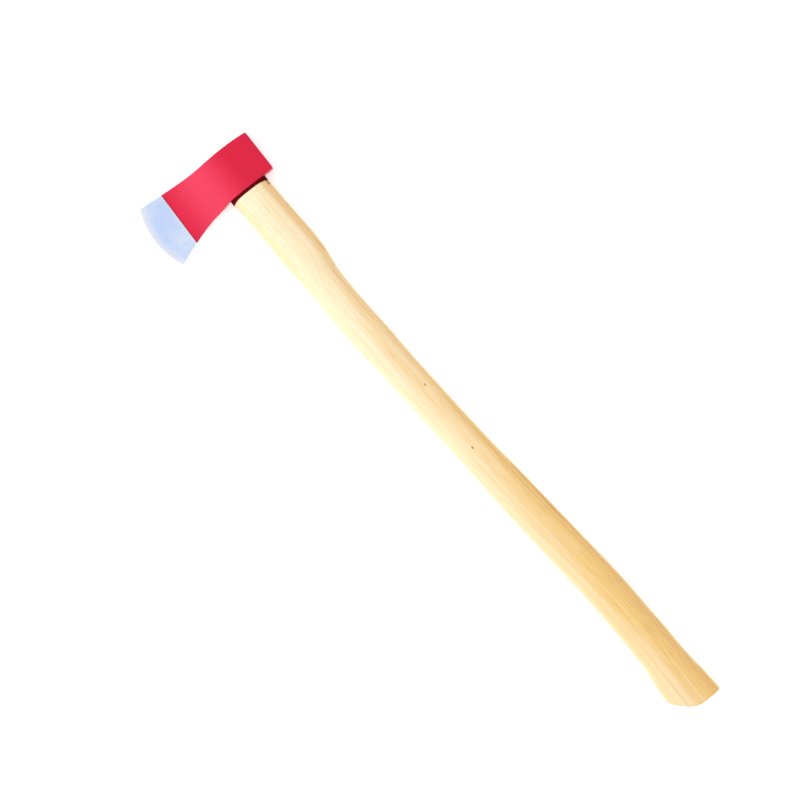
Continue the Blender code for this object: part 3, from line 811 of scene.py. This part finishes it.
# Ring marks and pores, which multiply that colour.
pore = add_node(tree, "Mapping", {"Vector": grain.outputs[0],
                                  "Scale": (1 / PORE_LENGTH, 1 / PORE_WIDTH, 1 / PORE_WIDTH)})
pore = add_node(tree, "TexNoise", {"Vector": pore.outputs[0], "Scale": 1, "Detail": 1})
pore = add_node(tree, "MapRange", {"Value": pore.outputs["Fac"], "From Min": 0.54,
                                   "From Max": 0.66, "To Min": 0, "To Max": PORE_STRENGTH})
in_early = add_node(tree, "MapRange", {"Value": ring_mark.outputs[0], "To Min": 0.25, "To Max": 1})
pore = add_node(tree, "Math", {0: pore.outputs[0], 1: in_early.outputs[0]}, operation="MULTIPLY")
for mark, tint in ((ring_mark, ASH_EARLY), (pore, ASH_PORE)):
    wood = add_node(tree, "Mix", {0: mark.outputs[0], 6: wood.outputs[2], 7: linear(tint)},
                    data_type="RGBA", blend_type="MULTIPLY")

# End grain and knots.
facing = add_node(tree, "NewGeometry").outputs["Normal"]
facing = add_node(tree, "SeparateXYZ", {0: facing})
facing = add_node(tree, "Math", {0: facing.outputs["X"]}, operation="ABSOLUTE")
end_grain = add_node(tree, "MapRange", {"Value": facing.outputs[0], "From Min": 0.6,
                                        "From Max": 0.9, "To Min": 0, "To Max": 0.5})
wood = add_node(tree, "Mix", {0: end_grain.outputs[0], 6: wood.outputs[2], 7: linear(ASH_END)},
                data_type="RGBA")
for height, distance in KNOTS:
    centre = ON_AXE @ Vector((height, distance, SHAFT_THICKNESS / 2))
    away = add_node(tree, "VectorMath", {0: place, 1: centre}, operation="SUBTRACT")
    away = add_node(tree, "VectorMath", {0: away.outputs[0], 1: (0.6, 1, 0.5)},
                    operation="MULTIPLY")
    away = add_node(tree, "VectorMath", {0: away.outputs[0]}, operation="LENGTH")
    dark = add_node(tree, "MapRange", {"Value": away.outputs["Value"],
                                       "From Min": 0.5 * KNOT_RADIUS,
                                       "From Max": 1.3 * KNOT_RADIUS, "To Min": 0.9, "To Max": 0})
    wood = add_node(tree, "Mix", {0: dark.outputs[0], 6: wood.outputs[2], 7: linear(KNOT_BROWN)},
                    data_type="RGBA")

gloss = add_node(tree, "MapRange", {"Value": pore.outputs[0], "To Min": VARNISH_SATIN,
                                    "To Max": VARNISH_SUNK})
sanding = add_node(tree, "Mapping", {"Vector": place, "Scale": (1 / PORE_LENGTH, 1 / SANDING_WIDTH,
                                                                1 / SANDING_WIDTH)})
sanding = add_node(tree, "TexNoise", {"Vector": sanding.outputs[0], "Scale": 1, "Detail": 2})
relief = add_node(tree, "Math", {0: sanding.outputs["Fac"], 1: pore.outputs[0]},
                  operation="SUBTRACT")
dress(tree, shader, wood.outputs[2], gloss.outputs[0], relief.outputs[0], 0.35, SANDING_DEPTH)


def follow_grain(handle):
    """The blank was split along the grain, so the grain bends as the handle does: each point is
    given its place in the straight tree, measured from the middle of the handle."""
    grain = handle.data.attributes.new("grain", "FLOAT_VECTOR", "POINT")
    to_bench = ON_AXE.inverted()
    for vert in handle.data.vertices:
        local = to_bench @ vert.co
        local.y -= EYE_CENTRE - smooth_curve(HANDLE_SET_BACK, local.x)
        grain.data[vert.index].vector = local


handle_mesh = turn_handle()
sink_knots(handle_mesh)
handle = new_piece("ash_handle", handle_mesh, ash)
notch_places = [EYE_CENTRE + side * STEEL_WEDGE_SPACING / 2 for side in (1, -1)]
cut_out(handle, [new_piece("kerf_saw", kerf_saw())]
        + [new_piece("notch_chisel", notch_chisel(place)) for place in notch_places])
follow_grain(handle)
smooth(handle, sharp_from=35)
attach(handle, "root")
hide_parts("handle")

# ------------------------------------------------------------------------------------------------
# Shoulder seal: a bead of dark red butyl sealant, pressed out between the underside of the head and
# the handle's shoulder. It keeps water out of the eye, and it laps over the shoulder's edge.

BEAD_POINTS = 192
BEAD_BULGE = 0.00035
BEAD_LAP = 0.0011  # how far down the rounded edge of the shoulder the bead reaches
BEAD_LAP_STEPS = 4
RIPPLE_DEPTH = 0.00012
RIPPLE_SIZE = 0.004
SPLIT_SHADE_LENGTH = 0.0072  # a dark strand down the poll side, painted shade for a small split in the wood there
SPLIT_SHADE_WIDTH = 0.0010
SPLIT_SHADE_THICKNESS = 0.0005
SPLIT_SHADE_HEIGHT = -0.0098
SPLIT_SHADE_SIDE = 0.0075  # from the middle plane


def press_seal():
    """Rings from the tenon out along the shoulder, round its edge, up the bulge and back in."""

    def on_shoulder(place):
        return shoulder_height(place) + SNUG

    half_width = SHOULDER_WIDTH / 2
    half_thickness = SHOULDER_THICKNESS / 2
    rings = [eye_ring(0, -SNUG, bent=on_shoulder, points=BEAD_POINTS)]
    for step in range(BEAD_LAP_STEPS + 1):
        angle = step / BEAD_LAP_STEPS * math.acos(1 - BEAD_LAP / SHOULDER_ROUND)
        inset = SHOULDER_ROUND * (1 - math.sin(angle))
        drop = SHOULDER_ROUND * (1 - math.cos(angle))
        rings.append(oval(EYE_CENTRE, half_width - inset, half_thickness - inset,
                          lambda place, drop=drop: on_shoulder(place) - drop, BEAD_POINTS))
    for share in (0.0, 0.25, 0.5, 0.75, 1.0):
        bulge = BEAD_BULGE * math.sin(math.pi * (0.15 + 0.7 * share))

        def on_side(place, share=share):
            low = on_shoulder(place) - BEAD_LAP
            return low + (-SNUG - low) * share

        rings.append(oval(EYE_CENTRE, half_width + bulge, half_thickness + bulge, on_side,
                          BEAD_POINTS))
    rings.append(eye_ring(0, -SNUG, bent=lambda place: -SNUG, points=BEAD_POINTS))
    mesh = bmesh.new()
    rows = [[mesh.verts.new(point) for point in ring] for ring in rings]
    for row, after in zip(rows, rows[1:] + rows[:1]):
        for k in range(BEAD_POINTS):
            following = (k + 1) % BEAD_POINTS
            mesh.faces.new((row[k], row[following], after[following], after[k]))
    for vert in mesh.verts:
        ripple = RIPPLE_DEPTH * noise.noise(vert.co / RIPPLE_SIZE)
        out = Vector((0, vert.co.y - EYE_CENTRE, 3 * vert.co.z)).normalized()
        if -SEAL_THICKNESS - SHOULDER_DROP < vert.co.x < -2 * SNUG:
            vert.co += out * ripple
    return mesh


def add_split_shade(mesh):
    """A dark strand, painted shade for a small split along the handle's back: a drawn-out drop whose
    inner side follows that back.
    """
    drop = bmesh.ops.create_uvsphere(mesh, u_segments=16, v_segments=12, radius=0.5)["verts"]
    for vert in drop:
        height = SPLIT_SHADE_HEIGHT + vert.co.x * SPLIT_SHADE_LENGTH
        out = (0.5 + vert.co.y) * SPLIT_SHADE_THICKNESS + SNUG
        side = SPLIT_SHADE_SIDE + vert.co.z * SPLIT_SHADE_WIDTH
        reach = 2 * side / smooth_curve(HANDLE_THICKNESS, height)
        inward = (1 - (1 - reach**OVAL_POWER) ** (1 / OVAL_POWER)) * SHOULDER_WIDTH / 2
        vert.co = Vector((height, back_edge(height) + inward - out, side))


# Butyl sealant, knifed in and skinned over: matt and a very dark red, a little redder in lumps.
BUTYL = "#4C0203"
BUTYL_RED = "#6A0508"
BUTYL_LUMP = 0.0035
BUTYL_LUMP_DEPTH = 0.0002
BUTYL_SKIN = 0.6
BUTYL_MATT = 0.8

butyl, tree, shader = new_material("knifed_butyl_sealant", IOR=1.52, Specular_IOR_Level=0.06)
place = add_node(tree, "TexCoord").outputs["Object"]
lump = add_node(tree, "TexNoise", {"Vector": place, "Scale": 1 / BUTYL_LUMP, "Detail": 3})
reddish = add_node(tree, "MapRange", {"Value": lump.outputs["Fac"], "From Min": 0.4,
                                      "From Max": 0.7})
colour = add_node(tree, "Mix", {0: reddish.outputs[0], 6: linear(BUTYL), 7: linear(BUTYL_RED)},
                  data_type="RGBA")
rough = add_node(tree, "MapRange", {"Value": lump.outputs["Fac"], "To Min": BUTYL_SKIN,
                                    "To Max": BUTYL_MATT})
dress(tree, shader, colour.outputs[2], rough.outputs[0], lump.outputs["Fac"], 0.5,
      BUTYL_LUMP_DEPTH)

seal_mesh = press_seal()
# The dark strand stands in for the shade in a small split along the poll side of the handle.
add_split_shade(seal_mesh)
seal = new_piece("sealant_bead", seal_mesh, butyl)
smooth(seal, sharp_from=50)
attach(seal, "root")
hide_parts("shoulder_seal")

# ------------------------------------------------------------------------------------------------
# Kerf wedge: a tapered slip of oak, driven into the sawn tenon to spread it in the flared eye, and
# then sawn off level. Two cuts across it take the steel wedges.

# Oak, split and sawn, with no finish: a brown wood with long coarse fibres and a dry, matt face.
OAK = "#9A6B3C"
OAK_DARK = "#6E4522"
OAK_FIBRE_WIDTH = 0.0006
OAK_FIBRE_LENGTH = 0.020
OAK_FIBRE_DEPTH = 0.00015
OAK_MATT = 0.75
OAK_SMOOTH = 0.55
SAW_MARK_DEPTH = 0.00008
SAW_MARK_RADIAN = 0.0011  # a saw mark every 7 mm
SAWN_FROM = TENON_TOP - 1e-6  # points above this height lie on the sawn top

oak, tree, shader = new_material("sawn_oak", IOR=1.50)
place = add_node(tree, "TexCoord").outputs["Object"]
fibre = add_node(tree, "Mapping", {"Vector": place,
                                   "Scale": (1 / OAK_FIBRE_LENGTH, 1 / (3 * OAK_FIBRE_WIDTH),
                                             1 / OAK_FIBRE_WIDTH)})
fibre = add_node(tree, "TexNoise", {"Vector": fibre.outputs[0], "Scale": 1, "Detail": 3})
colour = add_node(tree, "Mix", {0: fibre.outputs["Fac"], 6: linear(OAK_DARK), 7: linear(OAK)},
                  data_type="RGBA")
rough = add_node(tree, "MapRange", {"Value": fibre.outputs["Fac"], "To Min": OAK_MATT,
                                    "To Max": OAK_SMOOTH})
dress(tree, shader, colour.outputs[2], rough.outputs[0], fibre.outputs["Fac"], 0.5,
      OAK_FIBRE_DEPTH)

wedge_top = (TENON_TOP, 2 * tenon_reach(TENON_TOP, KERF_WEDGE_THICKNESS / 2), KERF_WEDGE_THICKNESS)
kerf_bottom = TENON_TOP - KERF_DEPTH
wedge_tip = (kerf_bottom, 2 * tenon_reach(kerf_bottom, KERF_WEDGE_TIP / 2), KERF_WEDGE_TIP)
kerf_mesh = tapered_block(wedge_top, wedge_tip, EYE_CENTRE, cuts=24)
for vert in kerf_mesh.verts:
    if vert.co.x > SAWN_FROM:
        vert.co.x -= SAW_MARK_DEPTH * (1 + math.sin(vert.co.y / SAW_MARK_RADIAN)) / 2
kerf_wedge = new_piece("oak_kerf_wedge", kerf_mesh, oak)
cut_out(kerf_wedge, [new_piece("notch_chisel", notch_chisel(place)) for place in notch_places])
smooth(kerf_wedge, sharp_from=30)
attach(kerf_wedge, "root")
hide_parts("kerf_wedge")

# ------------------------------------------------------------------------------------------------
# Steel wedges: two tapered strips of rolled mild steel, driven in across the kerf. The hammer has
# left their upper ends dented, with a slight burr.

HAMMER_DENT = 0.00018
HAMMER_DENT_SIZE = 0.0025
BURR = 0.00008

# Mild steel, rolled and hammered: dull grey with darker spots of mill scale.
MILD_STEEL = "#8C8D90"
MILD_STEEL_DARK = "#5A5B5E"
SCALE_SPOTS = 700  # to the metre
SCALE_DEPTH = 0.0001
MILD_STEEL_DULL = 0.55
MILD_STEEL_WORN = 0.35

mild_steel, tree, shader = new_material("hammered_mild_steel", Metallic=1.0)
place = add_node(tree, "TexCoord").outputs["Object"]
spots = add_node(tree, "TexNoise", {"Vector": place, "Scale": SCALE_SPOTS, "Detail": 3})
colour = add_node(tree, "Mix", {0: spots.outputs["Fac"], 6: linear(MILD_STEEL_DARK),
                                7: linear(MILD_STEEL)}, data_type="RGBA")
rough = add_node(tree, "MapRange", {"Value": spots.outputs["Fac"], "To Min": MILD_STEEL_DULL,
                                    "To Max": MILD_STEEL_WORN})
dress(tree, shader, colour.outputs[2], rough.outputs[0], spots.outputs["Fac"], 0.4, SCALE_DEPTH)

for name, node, notch in zip(("steel_wedge_a", "steel_wedge_b"),
                             ("steel_wedge_front", "steel_wedge_rear"), notch_places):
    top = (TENON_TOP, STEEL_WEDGE_THICKNESS, STEEL_WEDGE_WIDTH)
    tip = (TENON_TOP - STEEL_WEDGE_DEPTH, STEEL_WEDGE_TIP, STEEL_WEDGE_WIDTH)
    wedge_mesh = tapered_block(top, tip, notch, cuts=16)
    for vert in wedge_mesh.verts:
        if vert.co.x > SAWN_FROM:
            dent = 0.5 + 0.5 * noise.noise(vert.co / HAMMER_DENT_SIZE)
            vert.co.x -= HAMMER_DENT * dent
            vert.co.y += math.copysign(BURR * dent, vert.co.y - notch)
    wedge = new_piece(name, wedge_mesh, mild_steel)
    smooth(wedge, sharp_from=40)
    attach(wedge, "root")
    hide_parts(node)

# ------------------------------------------------------------------------------------------------
# Studio: a pale table that glows a little, as a lit acrylic sheet does, a white surround and one
# large soft light over the cutting edge's side.

TABLE_SIZE = 8.0
TABLE_WHITE = "#F6F7F8"
TABLE_HAZE = "#F2F3F4"
HAZE_SIZE = 0.5
TABLE_GLOW = 0.42
SKY_WHITE = "#FFFFFF"
SKY_STRENGTH = 0.95
KEY_WHITE = "#FFF9F0"
KEY_POWER = 34.0
KEY_SIZE = 2.4
KEY_PLACE = Vector((0.85, 1.55, 1.30))
KEY_AIM = Vector((0.10, 0.0, 0.0))
VIEW_CENTRE = Vector((0.0707, -0.0131, ON_AXE.translation.z))
VIEW_TURN = -128.2  # degrees: the head is up and to the left
VIEW_WIDTH = 0.9944  # of the axe's middle plane
LENS = 200.0
SENSOR = 36.0

table_top, tree, shader = new_material("pale_acrylic_table", Roughness=0.6)
shader.inputs["Emission Color"].default_value = linear(TABLE_WHITE)
shader.inputs["Emission Strength"].default_value = TABLE_GLOW
place = add_node(tree, "TexCoord").outputs["Object"]
haze = add_node(tree, "TexNoise", {"Vector": place, "Scale": 1 / HAZE_SIZE, "Detail": 1})
colour = add_node(tree, "Mix", {0: haze.outputs["Fac"], 6: linear(TABLE_HAZE),
                                7: linear(TABLE_WHITE)}, data_type="RGBA")
tree.links.new(colour.outputs[2], shader.inputs["Base Color"])
mesh = bmesh.new()
bmesh.ops.create_grid(mesh, x_segments=8, y_segments=8, size=TABLE_SIZE / 2)
data = bpy.data.meshes.new("table_top")
mesh.to_mesh(data)
mesh.free()
floor = bpy.data.objects.new("table_top", data)
bpy.context.scene.collection.objects.link(floor)
data.materials.append(table_top)

world = bpy.data.worlds.new("white_surround")
bpy.context.scene.world = world
world.use_nodes = True
sky = world.node_tree.nodes["Background"]
sky.inputs["Color"].default_value = linear(SKY_WHITE)
sky.inputs["Strength"].default_value = SKY_STRENGTH

key_light = bpy.data.lights.new("key_light", "AREA")
key_light.shape = "DISK"
key_light.size = KEY_SIZE
key_light.energy = KEY_POWER
key_light.color = linear(KEY_WHITE)[:3]
key = bpy.data.objects.new("key_light", key_light)
key.visible_glossy = False  # cross-polarised, so that it leaves no glare on the metal
key.location = KEY_PLACE
key.rotation_euler = (KEY_AIM - KEY_PLACE).to_track_quat("-Z", "Y").to_euler()
bpy.context.scene.collection.objects.link(key)

lens = bpy.data.cameras.new("camera")
lens.lens = LENS
lens.sensor_width = SENSOR
camera = bpy.data.objects.new("camera", lens)
camera.location = VIEW_CENTRE + Vector((0, 0, VIEW_WIDTH * LENS / SENSOR))
camera.rotation_euler = (0, 0, math.radians(VIEW_TURN))
bpy.context.scene.collection.objects.link(camera)
bpy.context.scene.camera = camera
bpy.context.scene.view_settings.view_transform = "Standard"
